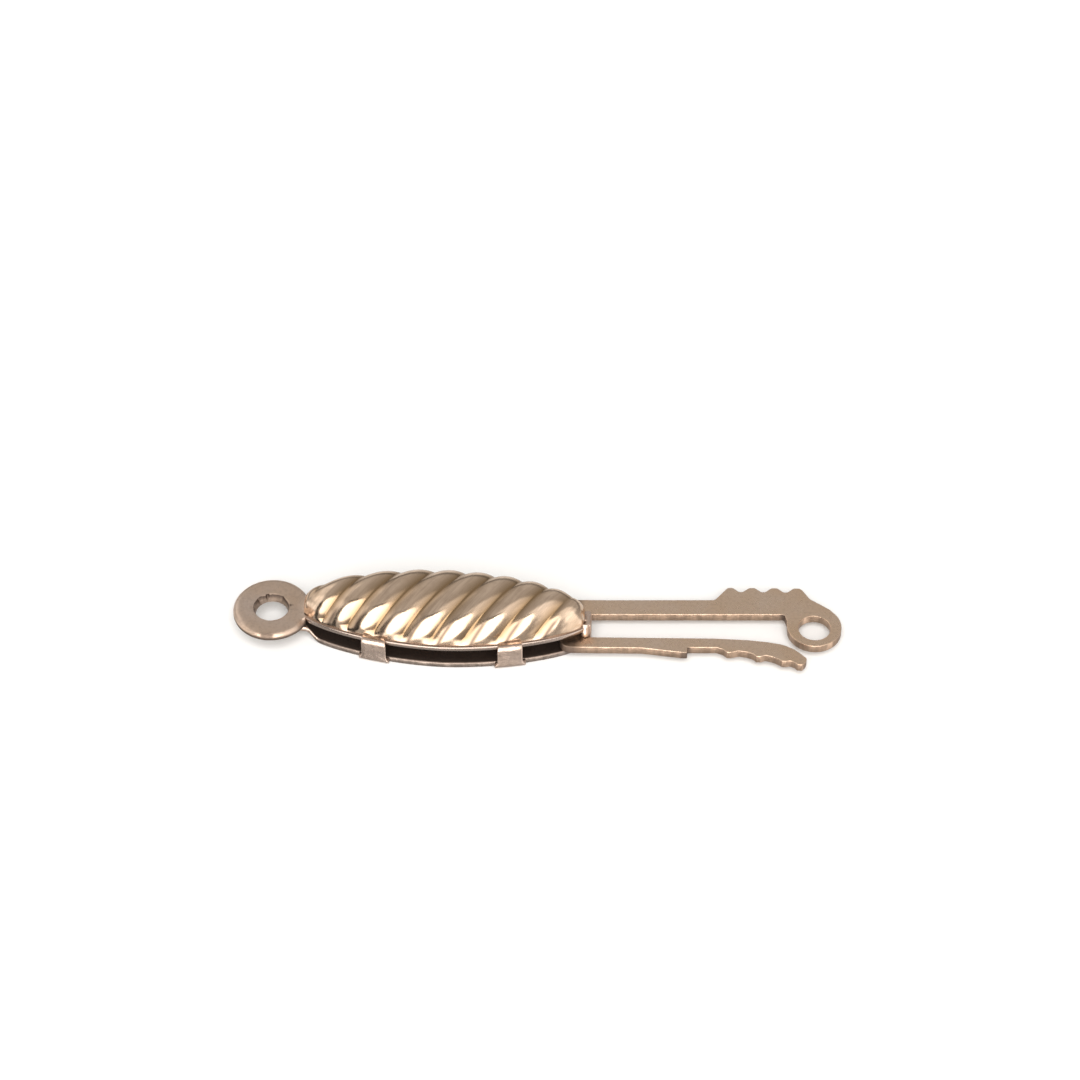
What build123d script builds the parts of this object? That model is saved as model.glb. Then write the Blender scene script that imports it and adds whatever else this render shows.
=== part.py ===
from build123d import *
import math
import os

# Fish hook clasp, all sizes in millimetres.
# The origin is the centre of the back plate's underside. +X runs along the case
# towards the hook tongue, +Z is up through the fluted cover.

# Case outline in plan
case_length = 13.9
case_width = 4.46
tip_width = 0.72
outline_power = 1.76
outline_roundness = 0.66

# Case, from the plate upwards
plate_thickness = 0.32
window_height = 0.85
rim_thickness = 0.28
rim_width = 0.13
dome_height = 2.15
dome_wall = 0.3
assembly_gap = 0.02

# Dome form and its diagonal flutes
section_power = 1.97
crest_power = 2.72
crest_roundness = 0.33
flute_pitch = 1.518
flute_phase = 0.21
flute_depth = 0.16
flute_sharpness = 0.6
flute_run_out = 0.1
flute_slant = 1.44
flute_rake = 0.46

# Claws standing on the plate's tabs and folded over the rim
claw_position = 3.3
claw_length = 1.2
claw_foot_width = 3.2
claw_inner_width = 3.6
claw_proud = 0.25
claw_rim_gap = 0.05
fold_thickness = 0.13
fold_reach = 0.07

# Post at the mouth that the tongue is hooked round
post_width = 0.9
post_thickness = 0.15

# End ring and its tail
ring_radius = 1.88
ring_hole_radius = 0.78
ring_hole_offset = 0.1
ring_thickness = 0.5
ring_stand_off = 1.47
ring_rise = 0.03
ring_edge_round = 0.14
ring_hole_round = 0.08
tail_reach = 0.9
tail_root = 0.5
tail_width = 0.8
tail_thickness = 0.3

# Upturned end of the plate below the end ring
lip_length = 1.3
lip_width = 1.5
lip_rise_length = 0.85
lip_flat_length = 0.52
lip_overhang = 0.15

# Hook tongue, a hairpin of flat sheet; places along it count from the middle of the post
tongue_thickness = 0.47
tongue_clearance = 0.06
tongue_lean = 2.5
tongue_side_offset = 0.15
slot_width = 1.48
arm_width = 0.97
spring_arm_width = 0.66
bend_length = 1.2
bend_corner = 0.85
slot_corner = 0.4
slot_back_gap = 0.18
ramp_start = 6.11
ramp_length = 0.52
grip_height = 0.64
bump_rise = 0.27
bump_radius = 0.33
bump_count = 4
bump_pitch = 1.09
first_bump = 6.84
neck_position = 9.47
tongue_ring_position = 10.89
tongue_ring_side = 0.13
tongue_ring_radius = 1.32
tongue_hole_radius = 0.78
ring_root_round = 0.14

# Spring lever, the free arm of the hairpin
hinge_back = 0.17
hinge_gap = 0.04
flare_start = 2.5
shoulder_position = 4.7
shoulder_flare = 0.29
lever_length = 10.46
lever_sweep = 1.6
lever_tip_sweep = 1.25
tooth_radius = 0.2

# Fineness of the outline and of the cover's small flat faces
outline_points = 13
rows_per_flute = 10
turn_samples = 2000
widest_turn = 0.05
cavity_rows = 28
cavity_steps = 6

# Corners of the sheet between the last bump and the tongue's ring, as shares of the
# outer radius from its centre
ring_shoulders = [
    {"along": 0.63, "out": 0.82},
    {"along": 0.26, "out": 1.10},
    {"along": -0.12, "out": 1.36},
    {"along": -0.36, "out": 1.80},
]

# Edges of the lever's grip: place along it as a share of lever_length, and how far
# its inner and outer edges have swung out, as shares of lever_sweep
grip_rows = [
    {"along": 0.540, "inner": 0.00, "outer": 0.36},
    {"along": 0.583, "inner": 0.00, "outer": 0.35},
    {"along": 0.632, "inner": 0.01, "outer": 0.44},
    {"along": 0.690, "inner": 0.03, "outer": 0.49},
    {"along": 0.767, "inner": 0.08, "outer": 0.61},
    {"along": 0.827, "inner": 0.13, "outer": 0.68},
    {"along": 0.894, "inner": 0.21, "outer": 0.82},
    {"along": 0.942, "inner": 0.39, "outer": 0.91},
    {"along": 0.972, "inner": 0.56, "outer": 0.95},
]
tooth_rows = [
    {"along": 0.633, "out": 0.437},
    {"along": 0.772, "out": 0.600},
    {"along": 0.891, "out": 0.775},
    {"along": 0.968, "out": 0.925},
]

# Places along the dome's steep ends, as shares of its half length
end_shares = (0.95, 0.975, 0.99, 0.997, 1.0)

# Levels and places worked out from the sizes above
half_length = case_length / 2
half_width = case_width / 2
tip_half_width = tip_width / 2
rim_bottom = plate_thickness + window_height
rim_top = rim_bottom + rim_thickness
tongue_bottom = plate_thickness + tongue_clearance
claw_bottom = plate_thickness + assembly_gap
fold_bottom = rim_top + assembly_gap
fold_top = fold_bottom + fold_thickness
post_inner = half_length + assembly_gap
post_outer = post_inner + post_thickness
post_middle = (post_inner + post_outer) / 2
tail_bottom = rim_bottom - assembly_gap - tail_thickness
ring_position = half_length + ring_stand_off
ring_bottom = rim_top + ring_rise - ring_thickness
lip_top = tail_bottom - assembly_gap
dome_reach = half_length - rim_width
cavity_inset = rim_width + dome_wall
cavity_reach = half_length - cavity_inset
cavity_rise = rim_thickness + dome_height - dome_wall
row_spacing = flute_pitch / rows_per_flute


def outline_half_width(x, inset=0.0):
    """Half width of the marquise outline at x, drawn in by inset all round."""
    share = min(abs(x) / (half_length - inset), 1.0)
    bow = (1 - share**outline_power) ** outline_roundness
    tip = tip_half_width - inset * tip_half_width / half_width
    return tip + (half_width - inset - tip) * bow


def marquise():
    """Closed outline of the case: two bowed sides and two short blunt tips."""
    angles = [math.pi * i / (outline_points - 1) for i in range(outline_points)]
    xs = [-half_length * math.cos(a) for a in angles]
    near = [(x, -outline_half_width(x)) for x in xs]
    far = [(x, outline_half_width(x)) for x in reversed(xs)]
    Spline(*near)
    Line(near[-1], far[0])
    Spline(*far)
    Line(far[-1], near[0])


# Fluted cover: a hollow dome with a narrow flat rim
def dome_section(turn):
    """Shares of the width and the rise at turn, 0 to 1 from near to far rim."""
    side = -math.copysign(abs(math.cos(math.pi * turn)) ** (2 / section_power), 0.5 - turn)
    up = math.sin(math.pi * turn) ** (2 / section_power) if 0 < turn < 1 else 0.0
    return side, up


def flute_run(turn):
    """How far a groove has run along the case at turn, in its slanted and raked plane."""
    side, up = dome_section(turn)
    return flute_slant * (side + 1) + flute_rake * up


def flute_turns():
    """Turns at which the grooves are one row further on, then even ones to the far rim."""
    turns = [0.0]
    for i in range(turn_samples):
        if flute_run(i / turn_samples) >= len(turns) * row_spacing:
            turns.append(i / turn_samples)
    rest = 1 - turns[-1]
    count = math.ceil(rest / widest_turn)
    return turns + [1 - rest * (count - i) / count for i in range(1, count + 1)]


def flute(x, turn):
    """How far the surface is sunk at x and at turn."""
    phase = (x - flute_run(turn)) / flute_pitch + flute_phase
    groove = 1 - abs(math.sin(math.pi * phase)) ** flute_sharpness
    run_out = min(1.0, turn / flute_run_out, (1 - turn) / flute_run_out)
    return flute_depth * groove * run_out


def dome_row(x, reach, inset, base, height, turns, sunk):
    """Points across the dome at x, from the near side over the crest to the far side."""
    share = min(abs(x) / reach, 1.0)
    rise = height * (1 - share**crest_power) ** crest_roundness
    width = outline_half_width(x * (half_length - inset) / reach, inset)
    row = []
    for turn in turns:
        side, up = dome_section(turn)
        y, z = side * width, up * rise
        shrink = 1 - flute(x, turn) / math.hypot(y, z) if sunk and rise > 2 * flute_depth else 1
        row.append((x, y * shrink, base + z * shrink))
    return row


def flute_stations():
    """Places along the dome in step with its flutes, with closer ones at the steep ends."""
    ends = [share * dome_reach for share in end_shares]
    count = math.ceil(half_length / row_spacing) + rows_per_flute
    even = [i * row_spacing - flute_phase * flute_pitch for i in range(-count, count + 1)]
    inner = [x for x in even if abs(x) < ends[0] - row_spacing / 2]
    return [-x for x in reversed(ends)] + inner + ends


def curved_stations(reach):
    """Places along the cavity or the rim, closer together towards the ends."""
    return [-reach * math.cos(math.pi * i / cavity_rows) for i in range(cavity_rows + 1)]


def strip(first, second):
    """Triangles between two rows of points, which may differ in number."""
    triangles = []
    i = j = 0
    while i < len(first) - 1 or j < len(second) - 1:
        first_next = (i + 1) / (len(first) - 1) if i < len(first) - 1 else 2.0
        second_next = (j + 1) / (len(second) - 1) if j < len(second) - 1 else 2.0
        if first_next <= second_next:
            triangles.append((first[i], first[i + 1], second[j]))
            i += 1
        else:
            triangles.append((first[i], second[j + 1], second[j]))
            j += 1
    return [t for t in triangles if len(set(t)) == len(t)]


def cover_faces():
    """All the small flat faces of the cover, outside, rim and cavity."""
    turns = flute_turns()
    outside = [
        dome_row(x, dome_reach, rim_width, rim_top, dome_height, turns, True)
        for x in flute_stations()
    ]
    turns = [i / cavity_steps for i in range(cavity_steps + 1)]
    cavity = [
        dome_row(x, cavity_reach, cavity_inset, rim_bottom, cavity_rise, turns, False)
        for x in curved_stations(cavity_reach)
    ]
    near_top = [(x, -outline_half_width(x), rim_top) for x in curved_stations(half_length)]
    far_top = [(x, -y, z) for x, y, z in near_top]
    near_bottom = [(x, y, rim_bottom) for x, y, z in near_top]
    far_bottom = [(x, -y, z) for x, y, z in near_bottom]
    triangles = []
    for grid in (outside, cavity):
        for row, following in zip(grid, grid[1:]):
            triangles += strip(following, row)
    triangles += strip(near_top, [row[0] for row in outside])
    triangles += strip(far_top, [row[-1] for row in outside])
    triangles += strip(near_bottom, [row[0] for row in cavity])
    triangles += strip(far_bottom, [row[-1] for row in cavity])
    triangles += strip(near_top, near_bottom) + strip(far_top, far_bottom)
    for end in (0, -1):
        triangles += strip([near_top[end], far_top[end]], outside[end])
        triangles += strip([near_bottom[end], far_bottom[end]], cavity[end])
        triangles += strip([near_top[end], far_top[end]], [near_bottom[end], far_bottom[end]])
    return [Face(Wire.make_polygon([Vector(*p) for p in t])) for t in triangles]


with BuildPart() as fluted_cover:
    add(Solid(Shell(cover_faces())))
fluted_cover.part.label = "fluted_cover"


# Back plate with a tab under each claw, the mouth post and the upturned lip
claw_start = claw_position - claw_length / 2
claw_end = claw_position + claw_length / 2
rim_start = outline_half_width(claw_start)
rim_end = outline_half_width(claw_end)
claw_foot = claw_foot_width / 2
claw_seat = claw_inner_width / 2
lip_start = lip_length - half_length
lip_end = -half_length - lip_overhang


def claw_section(level, inner_start, inner_end, side, hand):
    """Flat section of a claw at a level, from its inner line to outside the rim."""
    corners = [
        (claw_start, inner_start),
        (claw_end, inner_end),
        (claw_end, rim_end + claw_proud),
        (claw_start, rim_start + claw_proud),
    ]
    with BuildSketch(Plane.XY.offset(level)) as section:
        with BuildLine():
            Polyline(*[(hand * x, side * y) for x, y in corners], close=True)
        make_face()
    return section.sketch


def post_section(level, start):
    """Flat section of the mouth post at a level, from start to its outer face."""
    with BuildSketch(Plane.XY.offset(level)) as section:
        with Locations(((post_outer + start) / 2, 0)):
            Rectangle(post_outer - start, post_width)
    return section.sketch


with BuildPart() as back_plate:
    with BuildSketch():
        with BuildLine():
            marquise()
        make_face()
    extrude(amount=plate_thickness)
    for side in (-1, 1):
        for hand in (-1, 1):
            foot = claw_section(0, claw_foot, claw_foot, side, hand)
            extrude(foot, amount=plate_thickness)
    extrude(post_section(0, half_length / 2), amount=plate_thickness)
    extrude(post_section(0, post_inner), amount=fold_top)
    extrude(post_section(fold_bottom, half_length - fold_reach), amount=fold_thickness)
    with BuildSketch(Plane.XZ):
        with BuildLine():
            Polyline(
                (lip_start, 0),
                (lip_start, plate_thickness),
                (lip_end + lip_flat_length, lip_top),
                (lip_end, lip_top),
                (lip_end, lip_top - plate_thickness),
                (lip_rise_length - half_length, 0),
                close=True,
            )
        make_face()
    extrude(amount=lip_width / 2, both=True)
    with BuildSketch(Plane.XZ):
        with BuildLine():
            Polyline(
                (lip_rise_length - half_length, 0),
                (lip_end, lip_top - plate_thickness),
                (lip_end, 0),
                close=True,
            )
        make_face()
    extrude(amount=half_width, both=True, mode=Mode.SUBTRACT)
back_plate.part.label = "back_plate"


# Claws: a wall under the rim, a back outside it and a fold over it
def claw(name, side, hand):
    """One claw, on the side and the hand of the case that the two signs give."""
    wall = claw_section(claw_bottom, claw_seat, claw_seat, side, hand)
    back = claw_section(
        claw_bottom, rim_start + claw_rim_gap, rim_end + claw_rim_gap, side, hand
    )
    fold = claw_section(fold_bottom, rim_start - fold_reach, rim_end - fold_reach, side, hand)
    with BuildPart() as piece:
        extrude(wall, amount=rim_bottom - assembly_gap - claw_bottom)
        extrude(back, amount=fold_top - claw_bottom)
        extrude(fold, amount=fold_thickness)
    piece.part.label = name
    return piece


claws = (
    claw("near_left_claw", -1, -1),
    claw("near_right_claw", -1, 1),
    claw("far_left_claw", 1, -1),
    claw("far_right_claw", 1, 1),
)


# End ring: a thick round-edged ring whose flat tail lies under the cover's rim
with BuildPart() as end_ring:
    with BuildSketch(Plane.XY.offset(ring_bottom)):
        with Locations((-ring_position, 0)):
            Circle(ring_radius)
        with Locations((-ring_position, -ring_hole_offset)):
            Circle(ring_hole_radius, mode=Mode.SUBTRACT)
        with Locations((-half_length - assembly_gap, 0)):
            Rectangle(
                ring_radius, 2 * ring_radius, align=(Align.MIN, Align.CENTER), mode=Mode.SUBTRACT
            )
    extrude(amount=ring_thickness)
    circles = end_ring.edges().filter_by(GeomType.CIRCLE)
    fillet(circles.group_by(lambda edge: edge.radius)[-1], ring_edge_round)
    circles = end_ring.edges().filter_by(GeomType.CIRCLE)
    hole_edges = circles.filter_by(lambda edge: math.isclose(edge.radius, ring_hole_radius))
    fillet(hole_edges, ring_hole_round)
    with BuildSketch(Plane.XY.offset(tail_bottom)):
        with Locations((tail_reach - half_length, 0)):
            Rectangle(tail_reach + tail_root, tail_width, align=(Align.MAX, Align.CENTER))
    extrude(amount=tail_thickness)
end_ring.part.label = "end_ring"


# The tongue lies on a plane of its own, turned a little about the post
tongue_plane = Plane(
    origin=(post_middle, tongue_side_offset, tongue_bottom),
    x_dir=(math.cos(math.radians(tongue_lean)), math.sin(math.radians(tongue_lean)), 0),
    z_dir=(0, 0, 1),
)
slot_half = slot_width / 2
slot_end = -post_thickness / 2 - slot_back_gap
bend_end = slot_end - bend_length
arm_outer = slot_half + arm_width
spring_outer = slot_half + spring_arm_width
grip_outer = arm_outer + grip_height
bump_places = [first_bump + i * bump_pitch for i in range(bump_count)]
hinge_side = -slot_half - spring_arm_width / 2

with BuildPart() as hook_tongue:
    with BuildSketch(tongue_plane):
        with BuildLine():
            Polyline(
                (bend_end, -spring_outer),
                (slot_end, -spring_outer),
                (slot_end, slot_half),
                (neck_position, slot_half),
                (tongue_ring_position - tongue_ring_radius, tongue_ring_side),
                (tongue_ring_position, tongue_ring_side),
                *[
                    (
                        tongue_ring_position + row["along"] * tongue_ring_radius,
                        tongue_ring_side + row["out"] * tongue_ring_radius,
                    )
                    for row in ring_shoulders
                ],
                (bump_places[-1], grip_outer),
                (ramp_start + ramp_length, grip_outer),
                (ramp_start, arm_outer),
                (bend_end, arm_outer),
                close=True,
            )
        make_face()
        fillet(vertices().group_by(Axis.X)[0], bend_corner)
        fillet(vertices().sort_by_distance((slot_end, slot_half))[0], slot_corner)
        fillet(vertices().sort_by_distance((neck_position, slot_half))[0], ring_root_round)
        with Locations((tongue_ring_position, tongue_ring_side)):
            Circle(tongue_ring_radius)
        with Locations(*[(x, grip_outer + bump_rise - bump_radius) for x in bump_places]):
            Circle(bump_radius)
        with Locations((tongue_ring_position, 0)):
            Circle(tongue_hole_radius, mode=Mode.SUBTRACT)
        with Locations((-hinge_back, hinge_side)):
            Circle(spring_arm_width / 2 + hinge_gap, mode=Mode.SUBTRACT)
    extrude(amount=tongue_thickness)
hook_tongue.part.label = "hook_tongue"


def swung_out(rows, edge):
    """Points of one edge of the grip, in order along the lever."""
    return [(row["along"] * lever_length, -slot_half - row[edge] * lever_sweep) for row in rows]


inner_edge = swung_out(grip_rows, "inner")
outer_edge = swung_out(grip_rows, "outer")

with BuildPart() as spring_lever:
    with BuildSketch(tongue_plane):
        with BuildLine():
            Polyline(
                outer_edge[0],
                (shoulder_position, outer_edge[0][1]),
                (shoulder_position, -spring_outer - shoulder_flare),
                (flare_start, -spring_outer),
                (-hinge_back, -spring_outer),
                (-hinge_back, -slot_half),
                inner_edge[0],
            )
            Spline(*inner_edge)
            ThreePointArc(
                inner_edge[-1],
                (lever_length, -slot_half - lever_tip_sweep),
                outer_edge[-1],
            )
            Polyline(*reversed(outer_edge))
        make_face()
        with Locations((-hinge_back, hinge_side)):
            Circle(spring_arm_width / 2)
        with Locations(*swung_out(tooth_rows, "out")):
            Circle(tooth_radius)
    extrude(amount=tongue_thickness)
spring_lever.part.label = "spring_lever"

os.makedirs("parts", exist_ok=True)
pieces = (back_plate, *claws, fluted_cover, end_ring, hook_tongue, spring_lever)
for piece in pieces:
    export_step(piece.part, "parts/" + piece.part.label + ".step")
    print(piece.part.label, "volume", round(piece.part.volume, 3), "solids", len(piece.part.solids()))
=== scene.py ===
import math
from functools import partial

import bmesh
import bpy
from bpy.props import FloatProperty, FloatVectorProperty, IntProperty, PointerProperty
from mathutils import Matrix, Vector, noise
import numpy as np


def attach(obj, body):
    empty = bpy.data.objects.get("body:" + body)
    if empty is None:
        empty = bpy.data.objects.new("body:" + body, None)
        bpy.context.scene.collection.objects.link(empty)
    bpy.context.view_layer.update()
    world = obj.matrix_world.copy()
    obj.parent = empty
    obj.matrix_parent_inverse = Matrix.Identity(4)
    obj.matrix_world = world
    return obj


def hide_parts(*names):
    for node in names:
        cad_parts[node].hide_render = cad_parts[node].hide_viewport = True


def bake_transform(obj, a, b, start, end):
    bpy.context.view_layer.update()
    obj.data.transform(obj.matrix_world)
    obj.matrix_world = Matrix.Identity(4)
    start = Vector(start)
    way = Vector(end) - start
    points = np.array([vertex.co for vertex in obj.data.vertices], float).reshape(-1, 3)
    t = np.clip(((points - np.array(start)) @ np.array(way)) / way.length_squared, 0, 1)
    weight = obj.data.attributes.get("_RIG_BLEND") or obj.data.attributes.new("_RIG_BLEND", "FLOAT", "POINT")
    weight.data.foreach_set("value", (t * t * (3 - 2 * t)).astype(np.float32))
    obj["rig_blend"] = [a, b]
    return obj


bl_info = {
    "name": "Fish hook clasp",
    "version": (1, 0, 0),
    "blender": (4, 5, 0),
    "location": "View3D > Sidebar > Clasp",
    "description": "Builds a fluted marquise clasp with its hook tongue around the packed model",
    "category": "Object",
}

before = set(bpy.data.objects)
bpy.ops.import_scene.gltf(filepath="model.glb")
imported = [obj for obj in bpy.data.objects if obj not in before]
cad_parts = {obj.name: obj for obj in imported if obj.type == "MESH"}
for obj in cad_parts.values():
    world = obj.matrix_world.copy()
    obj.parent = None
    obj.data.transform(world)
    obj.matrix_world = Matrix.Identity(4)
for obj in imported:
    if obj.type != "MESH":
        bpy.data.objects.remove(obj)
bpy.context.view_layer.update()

MM = 0.001
FOV_FOCAL = 3500.0
PHOTO_WIDTH = 1080.0
SENSOR_WIDTH = 36.0


def length(name, default, description):
    """A length in metres that the sidebar shows in the scene's units."""
    return FloatProperty(
        name=name, description=description, default=default * MM, unit="LENGTH", precision=5
    )


def number(name, default, description):
    """A plain number without a unit."""
    return FloatProperty(name=name, description=description, default=default)


def colour(name, default, description):
    """A colour that the sidebar shows as a swatch."""
    return FloatVectorProperty(
        name=name, description=description, default=default, subtype="COLOR", size=3, min=0, max=1
    )


class CaseSizes(bpy.types.PropertyGroup):
    """Sizes of the case: cover, plate, claws, post and end ring."""

    case_length: length("Case length", 13.9, "Length of the cover from tip to tip")
    case_width: length("Case width", 4.46, "Width of the cover at its middle")
    tip_width: length("Tip width", 0.72, "Width of the blunt tips")
    outline_power: number("Outline power", 1.76, "Fullness along the outline")
    outline_roundness: number("Outline roundness", 0.66, "Fullness of the outline's ends")
    plate_thickness: length("Plate thickness", 0.32, "Thickness of the back plate")
    window_height: length("Window height", 0.85, "Height of the gaps between plate and cover")
    rim_thickness: length("Rim thickness", 0.28, "Thickness of the cover's flat rim")
    rim_width: length("Rim width", 0.13, "Width of the cover's flat rim")
    dome_height: length("Dome height", 2.15, "Height of the fluted dome above its rim")
    flute_pitch: length("Flute pitch", 1.516, "Distance from groove to groove along the cover")
    flute_depth: length("Flute depth", 0.16, "Depth of the grooves between the ribs")
    flute_slant: number("Flute slant", 0.721, "Run of a groove along the case for each unit across")
    flute_rake: number("Flute rake", 0.333, "Run of a groove along the case for each unit up")
    flute_phase: number("Flute phase", 0.394, "Shift of the flutes in pitches")
    rows: IntProperty(name="Rows", description="Rows of faces along the dome", default=360)
    steps: IntProperty(name="Steps", description="Faces across the dome", default=100)
    ring_radius: length("End ring radius", 1.88, "Outer radius of the end ring")
    ring_hole_radius: length("End ring hole", 0.8, "Radius of the end ring's hole")
    ring_position: length("End ring position", 8.42, "Distance of the ring from the case's middle")
    ring_hole_offset: length("Ring hole offset", 0.1, "How far the ring's hole is off its middle")


class TongueSizes(bpy.types.PropertyGroup):
    """Sizes of the hook tongue and its spring lever."""

    thickness: length("Tongue thickness", 0.47, "Thickness of the tongue's sheet")
    rest: length("Tongue level", 0.38, "Height of the tongue's underside")
    post_middle: length("Post middle", 7.045, "Where the tongue's lengths count from")
    side_offset: length("Side offset", 0.15, "Sideways place of the tongue")
    lean: FloatProperty(
        name="Lean", description="Turn of the tongue", default=math.radians(2.5), subtype="ANGLE"
    )
    edge_round: length("Edge rounding", 0.045, "Rounding of the sheet's cut edges")
    slot_half: length("Half slot", 0.74, "Half the width of the slot between the arms")
    arm_outer: length("Arm edge", 1.71, "Far edge of the main arm from the middle line")
    spring_outer: length("Lever edge", 1.4, "Near edge of the lever's root from the middle line")
    ring_position: length("Tongue ring position", 10.89, "Place of the tongue's ring")
    ring_radius: length("Tongue ring radius", 1.32, "Outer radius of the tongue's ring")
    hole_radius: length("Tongue hole radius", 0.78, "Radius of the hole in the tongue")


class GoldFinish(bpy.types.PropertyGroup):
    """Colours of the worn gold."""

    polished: colour("Polished gold", (0.96, 0.765, 0.60), "Colour of the fluted cover")
    satin: colour("Satin gold", (0.90, 0.715, 0.57), "Colour of the tongue and the ring")
    rose: colour("Rose gold", (0.84, 0.69, 0.60), "Colour of the plate and its claws")
    # Painted shade: the amber stands in for the darker colour the grooves get from their own shade and
    # reflections
    groove_shade: colour("Amber", (0.38, 0.25, 0.135), "Colour in the grooves between the ribs")
    # The cut edges' colour is partly painted shade: darker than the satin gold, standing in for the shaded
    # floor they reflect
    edge: colour("Cut edge", (0.66, 0.475, 0.35), "Colour of the sheet's cut edges")
    # Painted shade: this dark colour stands in for the shade inside the case, behind the claws, in the
    # ring's hole and in corners
    painted_shade: colour("Painted shade", (0.13, 0.10, 0.085), "Colour inside the case")
    floor: colour("Floor", (0.90, 0.90, 0.89), "Colour of the table")


# Mesh helpers

def outline_half_width(sizes, x, inset=0.0):
    """Half width of the marquise outline at x, drawn in by inset all round."""
    share = min(abs(x) / (sizes.case_length / 2 - inset), 1.0)
    bow = (1 - share**sizes.outline_power) ** sizes.outline_roundness
    tip = sizes.tip_width / 2 * (1 - inset / (sizes.case_width / 2))
    return tip + (sizes.case_width / 2 - inset - tip) * bow


def finish_mesh(bm, name, angle=40.0):
    """Turns a bmesh into a smooth-shaded object with crisp edges past angle."""
    bmesh.ops.remove_doubles(bm, verts=bm.verts, dist=0.0005 * MM)
    bmesh.ops.recalc_face_normals(bm, faces=bm.faces)
    mesh = bpy.data.meshes.new(name)
    bm.to_mesh(mesh)
    bm.free()
    for polygon in mesh.polygons:
        polygon.use_smooth = True
    mesh.set_sharp_from_angle(angle=math.radians(angle))
    piece = bpy.data.objects.new(name, mesh)
    bpy.context.scene.collection.objects.link(piece)
    return piece


def rounded_section(half_width, half_height, radius, across=8, corner=4):
    """Points round a rectangle with rounded corners, anticlockwise."""
    radius = min(radius, half_width * 0.999, half_height * 0.999)
    points = []
    for sx, sy, start in ((1, -1, -90), (1, 1, 0), (-1, 1, 90), (-1, -1, 180)):
        for i in range(corner + 1):
            turn = math.radians(start + 90 * i / corner)
            points.append(
                (
                    sx * (half_width - radius) + radius * math.cos(turn),
                    sy * (half_height - radius) + radius * math.sin(turn),
                )
            )
        if sx == sy:
            flat = half_width - radius
            points += [
                (sx * flat * (1 - 2 * (i + 1) / (across + 1)), sy * half_height)
                for i in range(across)
            ]
    return points


def loft(name, rings, angle=40.0, place=None):
    """Skin over rings of equally many points, with both ends closed."""
    bm = bmesh.new()
    rows = [[bm.verts.new(place(p) if place else p) for p in ring] for ring in rings]
    for row, following in zip(rows, rows[1:]):
        for i, vert in enumerate(row):
            after = (i + 1) % len(row)
            bm.faces.new((vert, row[after], following[after], following[i]))
    bm.faces.new(rows[0])
    bm.faces.new(rows[-1])
    return finish_mesh(bm, name, angle)


def folded_strip(name, path, angle=40.0, place=None):
    """A strip of sheet bent along a path of stations in the plane of out and up.

    Each station has its place (out, up), thickness and half length along X."""
    rings = []
    for i, station in enumerate(path):
        before, after = path[max(i - 1, 0)], path[min(i + 1, len(path) - 1)]
        run = Vector((after["out"] - before["out"], after["up"] - before["up"])).normalized()
        normal = Vector((run.y, -run.x))
        section = rounded_section(station["half"], station["thick"] / 2, station["round"])
        rings.append(
            [
                Vector((a, station["out"] + normal.x * b, station["up"] + normal.y * b))
                for a, b in section
            ]
        )
    return loft(name, rings, angle, place)


def strip_path(rows, corner=0.05):
    """Stations of a folded strip, from rows of (out, up, thick, half) in millimetres."""
    names = ("out", "up", "thick", "half", "round")
    return [{name: size * MM for name, size in zip(names, (*row, corner))} for row in rows]


def smooth_path(stations, pieces=4):
    """Stations joined by a smooth curve through them, each span cut in pieces."""
    result = []
    for i in range(len(stations) - 1):
        four = [stations[max(0, min(len(stations) - 1, k))] for k in (i - 1, i, i + 1, i + 2)]
        for j in range(pieces):
            t = j / pieces
            weights = (
                -0.5 * t + t * t - 0.5 * t**3,
                1 - 2.5 * t * t + 1.5 * t**3,
                0.5 * t + 2 * t * t - 1.5 * t**3,
                -0.5 * t * t + 0.5 * t**3,
            )
            result.append(
                {key: sum(w * s[key] for w, s in zip(weights, four)) for key in stations[0]}
            )
    return result + [dict(stations[-1])]


def rounded_outline(corners, longest=0.25, arc_steps=8):
    """Closed outline through corners (x, y, radius), in millimetres."""
    outline = []
    count = len(corners)
    for i, (x, y, radius) in enumerate(corners):
        here = Vector((x, y))
        before = Vector(corners[i - 1][:2]) - here
        after = Vector(corners[(i + 1) % count][:2]) - here
        if radius <= 0:
            outline.append(here)
            continue
        half_angle = before.angle(after) / 2
        reach = min(radius / math.tan(half_angle), before.length * 0.49, after.length * 0.49)
        start = here + before.normalized() * reach
        end = here + after.normalized() * reach
        for k in range(arc_steps + 1):
            t = k / arc_steps
            outline.append(start * (1 - t) ** 2 + here * 2 * t * (1 - t) + end * t * t)
    filled = []
    for i, point in enumerate(outline):
        after = outline[(i + 1) % len(outline)]
        parts = max(1, math.ceil((after - point).length / longest))
        filled += [point.lerp(after, k / parts) for k in range(parts)]
    return filled


def circle_outline(x, y, radius, steps=72):
    """Points round a circle, in millimetres."""
    turns = [2 * math.pi * i / steps for i in range(steps)]
    return [Vector((x + radius * math.cos(turn), y + radius * math.sin(turn))) for turn in turns]


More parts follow.
